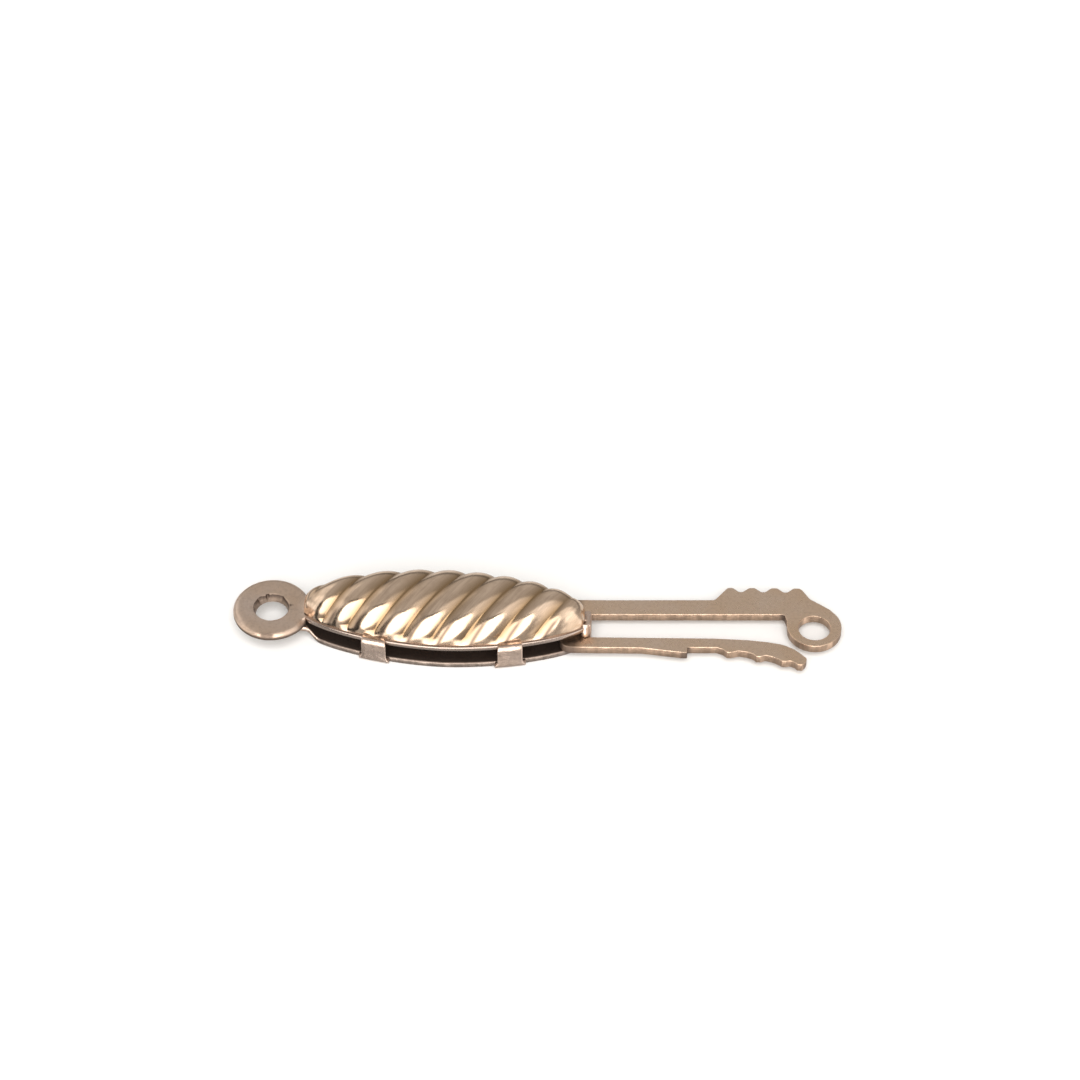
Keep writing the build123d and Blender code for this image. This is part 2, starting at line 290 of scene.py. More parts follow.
def cut_sheet(name, outlines, thickness, edge_round, place):
    """A flat sheet cut to outlines in millimetres, with softly rounded edges."""
    curve = bpy.data.curves.new(name, "CURVE")
    curve.dimensions = "2D"
    curve.fill_mode = "BOTH"
    bevel = edge_round / MM
    curve.extrude = thickness / 2 / MM - bevel
    curve.bevel_depth = bevel
    curve.bevel_resolution = 3
    curve.offset = -bevel
    for outline in outlines:
        spline = curve.splines.new("POLY")
        spline.points.add(len(outline) - 1)
        for point, target in zip(outline, spline.points):
            target.co = (point.x, point.y, 0, 1)
        spline.use_cyclic_u = True
    drawn = bpy.data.objects.new(name + "_outline", curve)
    bpy.context.scene.collection.objects.link(drawn)
    bpy.context.view_layer.update()
    depsgraph = bpy.context.evaluated_depsgraph_get()
    mesh = bpy.data.meshes.new_from_object(drawn.evaluated_get(depsgraph))
    bm = bmesh.new()
    bm.from_mesh(mesh)
    bpy.data.objects.remove(drawn)
    bpy.data.curves.remove(curve)
    bpy.data.meshes.remove(mesh)
    bmesh.ops.transform(bm, matrix=place @ Matrix.Scale(MM, 4), verts=bm.verts)
    return finish_mesh(bm, name, 30.0)


def paint(piece, name, shade):
    """Stores shade(point) of each vertex under name, for the material to read."""
    layer = piece.data.attributes.new(name, "FLOAT", "POINT")
    layer.data.foreach_set("value", [shade(v.co) for v in piece.data.vertices])


def ramp(value, low, high):
    """0 below low, 1 above high, with a smooth rise between."""
    t = max(0.0, min(1.0, (value - low) / (high - low)))
    return t * t * (3 - 2 * t)


def tinted(shade, *factors):
    """A colour with each channel times its own factor, or all times the only one."""
    if len(factors) == 1:
        factors *= 3
    return tuple(channel * factor for channel, factor in zip(shade, factors))


# Node helpers

def link_value(tree, value, socket):
    """Links value to socket if it is a socket, or else sets it there."""
    if isinstance(value, bpy.types.NodeSocket):
        tree.links.new(value, socket)
    else:
        socket.default_value = value


def add_node(tree, kind, inputs=(), **settings):
    """A new node with its settings and inputs; an input is a socket to link or a value."""
    node = tree.nodes.new(kind)
    for name, value in settings.items():
        setattr(node, name, value)
    for key, value in dict(inputs).items():
        link_value(tree, value, node.inputs[key])
    return node


def maths(tree, operation, *values, clamp=False):
    """A Math node on one to three values, each a socket or a number."""
    inputs = dict(enumerate(values))
    return add_node(tree, "ShaderNodeMath", inputs, operation=operation, use_clamp=clamp).outputs[0]


def add_inputs(tree, table):
    """Named inputs of a geometry tree, from (name, socket type) pairs."""
    tree.interface.new_socket("Geometry", in_out="OUTPUT", socket_type="NodeSocketGeometry")
    for name, kind in table:
        tree.interface.new_socket(name, in_out="INPUT", socket_type=kind)


def apply_tree(piece, tree, values):
    """Runs a geometry tree on piece and keeps the result as its plain mesh."""
    modifier = piece.modifiers.new(tree.name, "NODES")
    modifier.node_group = tree
    for item in tree.interface.items_tree:
        if item.in_out == "INPUT" and item.name in values:
            modifier[item.identifier] = values[item.name]
    bpy.context.view_layer.update()
    depsgraph = bpy.context.evaluated_depsgraph_get()
    mesh = bpy.data.meshes.new_from_object(piece.evaluated_get(depsgraph))
    piece.modifiers.remove(modifier)
    piece.data = mesh
    return mesh


def finish_tree(tree, geometry, material):
    """Makes a tree's geometry real, gives it the material and sends it out."""
    realized = add_node(tree, "GeometryNodeRealizeInstances", {"Geometry": geometry})
    worn = {"Geometry": realized.outputs["Geometry"], "Material": material}
    painted = add_node(tree, "GeometryNodeSetMaterial", worn)
    add_node(tree, "NodeGroupOutput", {"Geometry": painted.outputs["Geometry"]})
    return tree


DOME_NUMBERS = (
    "Length", "Width", "Tip width", "Outline power", "Outline roundness", "Inset", "Base",
    "Height", "Section power", "Crest power", "Crest roundness", "Flute pitch", "Flute slant",
    "Flute rake", "Flute phase", "Flute depth", "Flute sharpness", "Valley softness", "Run out",
    "Fade low", "Fade high", "Painted dark reflection place", "Painted dark reflection width", "Painted dark reflection height",
)
PAINTED_DARK_REFLECTION_FADE = 0.4


def fluted_dome_tree():
    """Geometry tree of the dome: a grid wrapped over the marquise and sunk along its flutes."""
    tree = bpy.data.node_groups.new("Fluted dome", "GeometryNodeTree")
    inputs = [(name, "NodeSocketFloat") for name in DOME_NUMBERS]
    inputs += [("Rows", "NodeSocketInt"), ("Steps", "NodeSocketInt")]
    add_inputs(tree, [*inputs, ("Material", "NodeSocketMaterial")])
    given = tree.nodes.new("NodeGroupInput").outputs
    m = partial(maths, tree)
    size = {"Size X": 2.0, "Size Y": 1.0, "Vertices X": given["Rows"], "Vertices Y": given["Steps"]}
    grid = add_node(tree, "GeometryNodeMeshGrid", size)
    position = add_node(tree, "GeometryNodeInputPosition").outputs[0]
    place = add_node(tree, "ShaderNodeSeparateXYZ", {0: position})

    along = m("SINE", m("MULTIPLY", place.outputs["X"], math.pi / 2))
    turn = m("ADD", place.outputs["Y"], 0.5)
    share = m("ABSOLUTE", along)
    half_width = m("MULTIPLY", given["Width"], 0.5)
    reach = m("SUBTRACT", m("MULTIPLY", given["Length"], 0.5), given["Inset"])
    x = m("MULTIPLY", along, reach)

    def falloff(power, roundness):
        left = m("SUBTRACT", 1.0, m("POWER", share, power))
        return m("POWER", m("MAXIMUM", left, 0.0), roundness)

    tip = m(
        "MULTIPLY",
        m("MULTIPLY", given["Tip width"], 0.5),
        m("SUBTRACT", 1.0, m("DIVIDE", given["Inset"], half_width)),
    )
    bow = falloff(given["Outline power"], given["Outline roundness"])
    swell = m("SUBTRACT", m("SUBTRACT", half_width, given["Inset"]), tip)
    width = m("ADD", tip, m("MULTIPLY", swell, bow))
    crest = falloff(given["Crest power"], given["Crest roundness"])
    rise = m("MULTIPLY", given["Height"], crest)

    angle = m("MULTIPLY", turn, math.pi)
    cosine = m("COSINE", angle)
    sine = m("MAXIMUM", m("SINE", angle), 0.0)
    bend = m("DIVIDE", 2.0, given["Section power"])
    towards = m("MULTIPLY", m("SIGN", cosine), -1.0)
    side = m("MULTIPLY", towards, m("POWER", m("ABSOLUTE", cosine), bend))
    y = m("MULTIPLY", side, width)
    z = m("MULTIPLY", m("POWER", sine, bend), rise)

    run = m("ADD", m("MULTIPLY", given["Flute slant"], y), m("MULTIPLY", given["Flute rake"], z))
    lag = m("SUBTRACT", x, run)
    phase = m("ADD", m("DIVIDE", lag, given["Flute pitch"]), given["Flute phase"])
    wave = m("SINE", m("MULTIPLY", phase, math.pi))
    squared = m("MULTIPLY", wave, wave)
    half_sharp = m("MULTIPLY", given["Flute sharpness"], 0.5)
    floor = m("POWER", given["Valley softness"], half_sharp)
    top = m("POWER", m("ADD", 1.0, given["Valley softness"]), half_sharp)
    softened = m("POWER", m("ADD", squared, given["Valley softness"]), half_sharp)
    ridge = m("SUBTRACT", softened, floor)
    groove = m("SUBTRACT", 1.0, m("DIVIDE", ridge, m("SUBTRACT", top, floor)))
    near_fade = m("DIVIDE", turn, given["Run out"], clamp=True)
    far_fade = m("DIVIDE", m("SUBTRACT", 1.0, turn), given["Run out"], clamp=True)
    fade_span = m("SUBTRACT", given["Fade high"], given["Fade low"])
    end_fade = m("DIVIDE", m("SUBTRACT", rise, given["Fade low"]), fade_span, clamp=True)
    fade = m("MULTIPLY", m("MULTIPLY", near_fade, far_fade), end_fade)
    sunk = m("MULTIPLY", groove, fade)
    span = m("SQRT", m("ADD", m("MULTIPLY", y, y), m("MULTIPLY", z, z)))
    shrink = m(
        "SUBTRACT",
        1.0,
        m("DIVIDE", m("MULTIPLY", sunk, given["Flute depth"]), m("MAXIMUM", span, 0.05 * MM)),
    )

    spot = {
        "X": x,
        "Y": m("MULTIPLY", y, shrink),
        "Z": m("ADD", m("MULTIPLY", z, shrink), given["Base"]),
    }
    joined = add_node(tree, "ShaderNodeCombineXYZ", spot)
    # Painted dark reflection: a dark band low on each rib's left flank, fading upwards and towards the ends
    place_on_rib = m("FRACT", phase)
    off_band = m("SUBTRACT", place_on_rib, given["Painted dark reflection place"])
    from_band = m("DIVIDE", off_band, given["Painted dark reflection width"])
    band = m("EXPONENT", m("MULTIPLY", m("MULTIPLY", from_band, from_band), -1.0))
    below = m("SUBTRACT", given["Painted dark reflection height"], turn)
    low = m("DIVIDE", below, m("MULTIPLY", given["Painted dark reflection height"], PAINTED_DARK_REFLECTION_FADE), clamp=True)
    painted_dark_reflection = m("MULTIPLY", m("MULTIPLY", band, low), end_fade)
    # Painted shade: a darker amber tint on each rib's right flank, past its crest
    past_crest = m("DIVIDE", m("SUBTRACT", place_on_rib, 0.5), 0.5, clamp=True)
    flank_shade = m("MULTIPLY", past_crest, end_fade)
    geometry = grid.outputs["Mesh"]
    shades = {"groove": sunk, "painted_dark_reflection": painted_dark_reflection, "flank_shade": flank_shade, "across": phase, "turn": turn}
    for name, value in shades.items():
        inputs = {"Name": name, "Geometry": geometry, "Value": value}
        keep = add_node(
            tree, "GeometryNodeStoreNamedAttribute", inputs, data_type="FLOAT", domain="POINT"
        )
        geometry = keep.outputs["Geometry"]
    inputs = {"Geometry": geometry, "Position": joined.outputs[0]}
    moved = add_node(tree, "GeometryNodeSetPosition", inputs)
    return finish_tree(tree, moved.outputs["Geometry"], given["Material"])


def four_copies_tree():
    """Geometry tree that sets a claw at all four places, by mirroring and by a half turn."""
    tree = bpy.data.node_groups.new("Claws round the case", "GeometryNodeTree")
    claw, turn = ("Claw", "NodeSocketGeometry"), ("Half turn", "NodeSocketFloat")
    add_inputs(tree, [claw, turn, ("Material", "NodeSocketMaterial")])
    given = tree.nodes.new("NodeGroupInput").outputs

    def joined(*parts):
        node = tree.nodes.new("GeometryNodeJoinGeometry")
        for part in parts:
            tree.links.new(part, node.inputs["Geometry"])
        return node.outputs["Geometry"]

    mirror = {"Geometry": given["Claw"], "Scale": (-1, 1, 1)}
    mirrored = add_node(tree, "GeometryNodeTransform", mirror)
    flipped = add_node(tree, "GeometryNodeFlipFaces", {"Mesh": mirrored.outputs["Geometry"]})
    pair = joined(given["Claw"], flipped.outputs["Mesh"])
    spin = add_node(tree, "ShaderNodeCombineXYZ", {"Z": given["Half turn"]}).outputs[0]
    turned = add_node(tree, "GeometryNodeTransform", {"Geometry": pair, "Rotation": spin})
    return finish_tree(tree, joined(pair, turned.outputs["Geometry"]), given["Material"])


# Materials

def gold(name, base, warm, shades, roughness, grain_size, grain_depth, streaks=False):
    """Worn gold with cloudy colour and gloss and a fine grain.

    Each shade is where it lies, its colour, and how much duller it is there. It lies where
    an attribute is 1, or along X from its dark end to its bright end."""
    material = bpy.data.materials.get(name)
    if material:
        return material
    material = bpy.data.materials.new(name)
    material.use_nodes = True
    tree = material.node_tree
    shader = tree.nodes["Principled BSDF"]
    shader.inputs["Metallic"].default_value = 1.0
    place = tree.nodes.new("ShaderNodeTexCoord").outputs["Object"]

    m = partial(maths, tree)

    def spread(value, low, high, first=0.0, last=1.0):
        ends = {"From Min": low, "From Max": high, "To Min": first, "To Max": last}
        return add_node(tree, "ShaderNodeMapRange", {**ends, "Value": value}).outputs["Result"]

    def attribute(title):
        return add_node(tree, "ShaderNodeAttribute", attribute_name=title).outputs["Fac"]

    def cloud(scale, detail, low=0.3, high=0.7, where=place):
        inputs = {"Scale": scale, "Detail": detail, "Vector": where}
        return spread(add_node(tree, "ShaderNodeTexNoise", inputs).outputs["Fac"], low, high)

    def mixed(factor, *shades):
        first, second = ((*s, 1.0) if isinstance(s, tuple) else s for s in shades)
        inputs = {0: factor, 6: first, 7: second}
        return add_node(tree, "ShaderNodeMix", inputs, data_type="RGBA").outputs[2]

    surface = mixed(cloud(scale=500.0, detail=3.0), tuple(base), tuple(warm))
    specks = cloud(scale=0.5 / grain_size, detail=2.0, low=0.45, high=0.8)
    surface = mixed(m("MULTIPLY", specks, 0.35), surface, tinted(warm, 0.6))
    gloss_spread = 0.12
    smears = cloud(scale=900.0, detail=5.0)
    gloss = m("MULTIPLY_ADD", smears, gloss_spread, roughness - gloss_spread / 2)
    if streaks:
        stretches = (("X", "across", 8.0), ("Y", "turn", 5.0))
        along = {axis: m("MULTIPLY", attribute(title), by) for axis, title, by in stretches}
        along_ribs = add_node(tree, "ShaderNodeCombineXYZ", along)
        streak = cloud(scale=1.0, detail=4.0, low=0.42, high=0.75, where=along_ribs.outputs[0])
        surface = mixed(m("MULTIPLY", streak, 0.65), surface, tinted(warm, 0.62))
        gloss = m("ADD", gloss, m("MULTIPLY", streak, 0.08))
    for where, shade_colour, duller in shades:
        if where == "edge":
            cut = add_node(tree, "ShaderNodeMapping", {"Vector": place, "Scale": (1.0, 1.0, 0.25)})
            marks = cloud(scale=3400.0, detail=4.0, low=0.38, high=0.64, where=cut.outputs[0])
            dark, bright = tinted(shade_colour, 0.68), tinted(shade_colour, 1.08)
            shade_colour = mixed(marks, dark, bright)
            gloss = m("SUBTRACT", gloss, m("MULTIPLY", marks, 0.08))
        if isinstance(where, str):
            amount = attribute(where)
        else:
            split = add_node(tree, "ShaderNodeSeparateXYZ", {0: place})
            amount = spread(split.outputs["X"], *where)
        if not isinstance(shade_colour, bpy.types.NodeSocket):
            shade_colour = tuple(shade_colour)
        surface = mixed(amount, surface, shade_colour)
        gloss = m("ADD", gloss, m("MULTIPLY", amount, duller))
    broad = m("MULTIPLY", cloud(scale=0.12 / grain_size, detail=2.0), 2.0)
    fine = cloud(scale=1.0 / grain_size, detail=3.0)
    grain = {"Strength": grain_depth, "Distance": 0.02 * MM, "Height": m("ADD", fine, broad)}
    bump = add_node(tree, "ShaderNodeBump", grain).outputs["Normal"]
    for name, value in (("Base Color", surface), ("Roughness", gloss), ("Normal", bump)):
        tree.links.new(value, shader.inputs[name])
    return material


def polished_gold(finish):
    """The cover's polished gold, with painted shade in its grooves, on its ribs' right flanks and inside, a
    painted dark reflection low on each rib, and a rim of rose gold darkened by painted shade.
    """
    # Painted shade on the ribs' right flanks, mixed from the groove shade and the polished gold
    flank_shade = tuple(0.45 * a + 0.55 * p for a, p in zip(finish.groove_shade, finish.polished))
    shades = [
        ("flank_shade", flank_shade, 0.0),
        # Painted shade in the grooves
        ("groove", finish.groove_shade, 0.12),
        # Painted dark reflection low on the ribs
        ("painted_dark_reflection", (0.22, 0.16, 0.12), 0.1),
        # The rim is rose gold, darkened by painted shade that stands in for the dim floor it reflects
        ("rim", tinted(finish.rose, 0.76), 0.12),
        # Painted shade inside the case
        ("painted_shade", finish.painted_shade, 0.4),
    ]
    warm = tinted(finish.polished, 0.93, 0.89, 0.84)
    return gold(
        "Polished gold", finish.polished, warm, shades,
        roughness=0.13, grain_size=0.25 * MM, grain_depth=0.10, streaks=True,
    )


def satin_gold(finish):
    """The end ring's fine-grained satin gold."""
    # Painted shade on the ring: in its hole, on a bevel patch, on its lower wall and by the case
    shades = [("painted_shade", finish.painted_shade, 0.3)]
    base = tinted(finish.satin, 0.92, 0.95, 1.02)
    warm = tinted(base, 0.97, 0.90, 0.80)
    return gold(
        "Satin gold", base, warm, shades, roughness=0.32, grain_size=0.07 * MM, grain_depth=0.3
    )


def tongue_gold(finish):
    """The tongue's satin gold, with golden cut edges darkened in part by painted shade, and painted shade
    where it lies in the case and in its corners.
    """
    # Painted shade on the tongue's end inside the case
    inside_case_shade = (6.35 * MM, 6.75 * MM, 0.75, 0.0)
    shades = [
        # Cut edges with real cut marks, darkened in part by painted shade
        ("edge", finish.edge, 0.08),
        (inside_case_shade, finish.painted_shade, 0.3),
        ("painted_shade", finish.painted_shade, 0.2),
    ]
    warm = tinted(finish.satin, 0.97, 0.90, 0.80)
    return gold(
        "Tongue gold", finish.satin, warm, shades,
        roughness=0.32, grain_size=0.07 * MM, grain_depth=0.3,
    )


def rose_gold(finish):
    """The pinkish gold of the plate and claws, with painted shade inside the case and on the plate's edges.
    """
    # Painted shade: the plate's edges are painted much darker, standing in for the shadowed floor they
    # reflect
    shades = [("edge", tinted(finish.rose, 0.42), 0.2), ("painted_shade", finish.painted_shade, 0.4)]
    warm = tinted(finish.rose, 0.92, 0.88, 0.84)
    return gold(
        "Rose gold", finish.rose, warm, shades,
        roughness=0.34, grain_size=0.12 * MM, grain_depth=0.4,
    )


def plain_floor(finish):
    """Plain pale matt table top."""
    material = bpy.data.materials.new("Pale floor")
    material.use_nodes = True
    shader = material.node_tree.nodes["Principled BSDF"]
    shader.inputs["Base Color"].default_value = (*finish.floor, 1.0)
    shader.inputs["Roughness"].default_value = 0.85
    return material


# Soft lights and shades of the studio round the clasp: middle and half size in degrees of
# azimuth (0 in front, to the right of it positive) and of elevation, softness and brightness
STUDIO = [
    {"azimuth": 0, "wide": 400, "elevation": -50, "high": 48, "soft": 0.06, "bright": 0.42},
    {"azimuth": 180, "wide": 100, "elevation": -18, "high": 22, "soft": 0.3, "bright": 0.72},
    {"azimuth": 40, "wide": 38, "elevation": 30, "high": 26, "soft": 0.5, "bright": 1.0},
    {"azimuth": -112, "wide": 34, "elevation": 26, "high": 24, "soft": 0.5, "bright": 0.85},
    {"azimuth": 52, "wide": 13, "elevation": 0, "high": 26, "soft": 0.5, "bright": 1.4},
    {"azimuth": 66, "wide": 22, "elevation": -44, "high": 22, "soft": 0.4, "bright": 1.3},
    {"azimuth": -72, "wide": 20, "elevation": 0, "high": 36, "soft": 0.3, "bright": 1.15},
    {"azimuth": -5, "wide": 32, "elevation": 2, "high": 33, "soft": 0.16, "bright": 3.0},
    {"azimuth": -45, "wide": 7.5, "elevation": -14, "high": 34, "soft": 0.3, "bright": 0.03},
    {"azimuth": -12, "wide": 28, "elevation": 39, "high": 3.5, "soft": 0.6, "bright": 0.12},
    {"azimuth": 180, "wide": 100, "elevation": 4, "high": 8, "soft": 0.6, "bright": 0.22},
]
BACKDROP = 1.1
SKY = 0.46
OVERHEAD = 6.0
LAMP_DISTANCE = 0.7


def studio_sky():
    """World whose brightness follows the studio's soft lights and shades."""
    world = bpy.data.worlds.new("studio")
    world.use_nodes = True
    tree = world.node_tree
    m = partial(maths, tree)
    direction = add_node(tree, "ShaderNodeTexCoord").outputs["Generated"]
    x, y, z = add_node(tree, "ShaderNodeSeparateXYZ", {0: direction}).outputs
    azimuth = m("DEGREES", m("ARCTAN2", x, m("MULTIPLY", y, -1.0)))
    elevation = m("DEGREES", m("ARCSINE", z))
    level = SKY
    for patch in STUDIO:
        turn = m("ABSOLUTE", azimuth) if patch["azimuth"] == 180 else azimuth
        shares = []
        for angle, middle, half in ((turn, "azimuth", "wide"), (elevation, "elevation", "high")):
            off = m("ABSOLUTE", m("SUBTRACT", angle, patch[middle]))
            shares.append(m("POWER", m("DIVIDE", off, patch[half]), 3.0))
        reach = m("POWER", m("ADD", *shares), 1 / 3)
        edge = m("SUBTRACT", 1 + patch["soft"] / 2, reach)
        inside = m("DIVIDE", edge, patch["soft"], clamp=True)
        change = m("MULTIPLY", inside, m("SUBTRACT", patch["bright"], level))
        level = m("ADD", level, change)
    seen = add_node(tree, "ShaderNodeLightPath").outputs["Is Camera Ray"]
    level = m("ADD", level, m("MULTIPLY", seen, m("SUBTRACT", BACKDROP, level)))
    background = tree.nodes["Background"]
    background.inputs["Color"].default_value = (1.0, 0.95, 0.90, 1.0)
    tree.links.new(level, background.inputs["Strength"])
    return world


def wear(piece, material, body, slot, *nodes):
    """Gives a finished piece its material and body, and hides the solids that it stands for; the slot is not
    used.
    """
    piece.data.materials.clear()
    piece.data.materials.append(material)
    if body:
        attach(piece, body)
    if nodes:
        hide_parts(*nodes)
    return piece


# Operators

class CLASP_OT_fluted_cover(bpy.types.Operator):
    """Build the fluted cover with its flat rim and hollow underside"""

    bl_idname = "clasp.fluted_cover"
    bl_label = "Fluted cover"

    def execute(self, context):
        sizes, finish = context.scene.clasp_case, context.scene.clasp_finish
        material = polished_gold(finish)
        rim_bottom = sizes.plate_thickness + sizes.window_height
        rim_top = rim_bottom + sizes.rim_thickness
        cover = bpy.data.objects.new("cover", bpy.data.meshes.new("cover"))
        context.scene.collection.objects.link(cover)
        apply_tree(
            cover,
            fluted_dome_tree(),
            {
                "Length": sizes.case_length,
                "Width": sizes.case_width,
                "Tip width": sizes.tip_width,
                "Outline power": sizes.outline_power,
                "Outline roundness": sizes.outline_roundness,
                "Inset": sizes.rim_width,
                "Base": rim_top,
                "Height": sizes.dome_height,
                "Section power": 1.97,
                "Crest power": 2.72,
                "Crest roundness": 0.33,
                "Flute pitch": sizes.flute_pitch,
                "Flute slant": sizes.flute_slant,
                "Flute rake": sizes.flute_rake,
                "Flute phase": sizes.flute_phase,
                "Flute depth": sizes.flute_depth,
                "Flute sharpness": 0.75,
                "Valley softness": 0.006,
                "Run out": 0.06,
                "Fade low": 0.85 * MM,
                "Fade high": 1.7 * MM,
                "Painted dark reflection place": 0.27,
                "Painted dark reflection width": 0.07,
                "Painted dark reflection height": 0.26,
                "Rows": sizes.rows,
                "Steps": sizes.steps,
                "Material": material,
            },
        )
        bm = bmesh.new()
        bm.from_mesh(cover.data)
        bpy.data.objects.remove(cover)
        reach = sizes.case_length / 2 - sizes.rim_width
        ring = self.open_border(bm)
        border = [vert.co.copy() for vert in ring]
        soft, cavity_wall, cavity_steps = 0.045 * MM, 0.3 * MM, 9
        flute_shades = [bm.verts.layers.float[name] for name in ("groove", "painted_dark_reflection", "flank_shade")]
        rim_steps = [
            (sizes.rim_width * 0.3, rim_top),
            (soft, rim_top),
            (soft * 0.3, rim_top - soft * 0.25),
            (0.0, rim_top - soft),
            (0.0, rim_bottom + soft),
            (soft, rim_bottom),
            (sizes.rim_width + cavity_wall, rim_bottom),
        ]
        for inset, level in rim_steps:
            ring = self.next_ring(bm, ring)
            for vert, start in zip(ring, border):
                share = start.x / reach
                x = share * (sizes.case_length / 2 - inset)
                wide = outline_half_width(sizes, start.x, sizes.rim_width)
                y = start.y / wide * outline_half_width(sizes, x, inset)
                vert.co = Vector((x, y, level))
                for shade in flute_shades:
                    vert[shade] = 0.0
        brink = [vert.co.copy() for vert in ring]
        roof = sizes.rim_thickness + sizes.dome_height - cavity_wall
        for i in range(1, cavity_steps):
            ring = self.next_ring(bm, ring)
            turn = math.pi / 2 * i / cavity_steps
            level = rim_bottom + roof * math.sin(turn)
            for vert, start in zip(ring, brink):
                vert.co = Vector((start.x * math.cos(turn), start.y * math.cos(turn), level))
        bm.faces.new(ring)
        piece = finish_mesh(bm, "fluted_cover_shell", 50.0)
        inside = rim_bottom + 0.1 * MM

        # Painted shade: the cover's underside is painted dark inside the case
        def painted_shade(point):
            room = outline_half_width(sizes, point.x, sizes.rim_width) - abs(point.y)
            return 1.0 if point.z < inside and room > 0.05 * MM else 0.0

        paint(piece, "painted_shade", painted_shade)
        # Mask of the rim, for its rose gold darkened by painted shade
        paint(piece, "rim", lambda point: ramp(rim_top + 0.012 * MM - point.z, 0, 0.008 * MM))
        wear(piece, material, "case", "cover_gold", "fluted_cover")
        return {"FINISHED"}

    @staticmethod
    def open_border(bm):
        """Verts of the dome's open border, in order round it."""
        ring = [next(vert for vert in bm.verts if vert.is_boundary)]
        while True:
            beside = [e.other_vert(ring[-1]) for e in ring[-1].link_edges if e.is_boundary]
            after = next(vert for vert in beside if len(ring) == 1 or vert != ring[-2])
            if after == ring[0]:
                return ring
            ring.append(after)

    @staticmethod
    def next_ring(bm, ring):
        """Copies a ring of verts with their shades and joins both rings by a strip of faces."""
        fresh = [bm.verts.new(vert.co, vert) for vert in ring]
        for i, vert in enumerate(ring):
            bm.faces.new((ring[i - 1], vert, fresh[i], fresh[i - 1]))
        return fresh


class CLASP_OT_back_plate(bpy.types.Operator):
    """Build the back plate with its upturned end and the post at the mouth"""

    bl_idname = "clasp.back_plate"
    bl_label = "Back plate"

    def execute(self, context):
        sizes, finish = context.scene.clasp_case, context.scene.clasp_finish
        material = rose_gold(finish)
        half = sizes.case_length / 2
        thick = sizes.plate_thickness
        lift, lip_half, post_half = 0.51 * MM, 0.75 * MM, 0.45 * MM
        lip_length, post_length, edge_round = 1.35 * MM, 1.2 * MM, 0.09 * MM
        left, right = -half - 0.15 * MM, half + 0.1 * MM
        rings = []
        count = 150
        for i in range(count + 1):
            x = left + (right - left) * (1 - math.cos(math.pi * i / count)) / 2
            wide = outline_half_width(sizes, x) if abs(x) < half else 0.0
            if x > half - post_length:
                wide = max(wide, post_half)
            if x < lip_length - half:
                wide = max(wide, lip_half)
            middle = lift * ramp(-x, half - 0.95 * MM, half - 0.15 * MM) + thick / 2
            section = rounded_section(wide, thick / 2, edge_round, across=14)
            rings.append([Vector((x, a, middle + b)) for a, b in section])
        plate = loft("back_plate_sheet", rings)

        # Painted shade on the plate's top inside the case
        def plate_painted_shade(point):
            room = outline_half_width(sizes, point.x) - abs(point.y) if abs(point.x) < half else 0.0
            return ramp(room, 0.03 * MM, 0.10 * MM) * ramp(point.z, thick * 0.7, thick * 0.95)

        paint(plate, "painted_shade", plate_painted_shade)
        # Mask of the plate's edges, for their painted shade
        paint(plate, "edge", lambda p: ramp(thick - p.z, 0.01 * MM, 0.05 * MM))
        wear(plate, material, "case", "plate_gold", "back_plate")

        end, plate_mm, fold = half / MM, thick / MM, 1.535
        post_rows = [
            (end - 0.55, plate_mm / 2, plate_mm * 0.9),
            (end - 0.02, plate_mm / 2, plate_mm * 0.8),
            (end + 0.075, plate_mm * 0.8, 0.2),
            (end + 0.095, 0.5, 0.15),
            (end + 0.095, 1.36, 0.15),
            (end + 0.07, fold - 0.05, 0.14),
            (end, fold, 0.125),
            (end - 0.08, fold - 0.005, 0.115),
        ]
        post_path = strip_path([(*row, post_half / MM) for row in post_rows])

        def across(point):
            return Vector((point.y, point.x, point.z))

        post = folded_strip("mouth_post", smooth_path(post_path), place=across)
        # Painted shade on the post inside the case
        paint(post, "painted_shade", lambda p: ramp(half - 0.1 * MM - p.x, 0.0, 0.15 * MM) * 0.8)
        wear(post, material, "case", "plate_gold")

        # The curl is a roll of sheet, in millimetres: its foot, its two faces and their middle
        axis = Vector((half - 0.11 * MM, -0.47 * MM, 0))
        foot, slope, middle = 0.90, 0.22, 0.175
        faces = ((0.23, range(-150, 111, 13)), (0.12, range(110, -151, -13)))
        levels = ((foot, 0.7), (0.93, 0.95), (1.1, 1.0), (1.3, 1.0), (1.48, 1.0), (1.56, 0.95))
        rings = []
        for up, wide in (*levels, (1.6, 0.7)):
            lean = Vector((0, slope * (up - foot), up))
            section = []
            for radius, turns in faces:
                reach = middle + (radius - middle) * wide
                for turn in map(math.radians, turns):
                    spot = Vector((math.cos(turn), math.sin(turn), 0)) * reach
                    section.append(axis + (spot + lean) * MM)
            rings.append(section)
        curl = loft("mouth_curl", rings, 50.0)
        # Painted shade on the curl's inner part, inside the mouth
        paint(curl, "painted_shade", lambda p: ramp(half - 0.2 * MM - p.x, 0, 0.06 * MM) * 0.9)
        wear(curl, material, "case", "plate_gold")
        return {"FINISHED"}


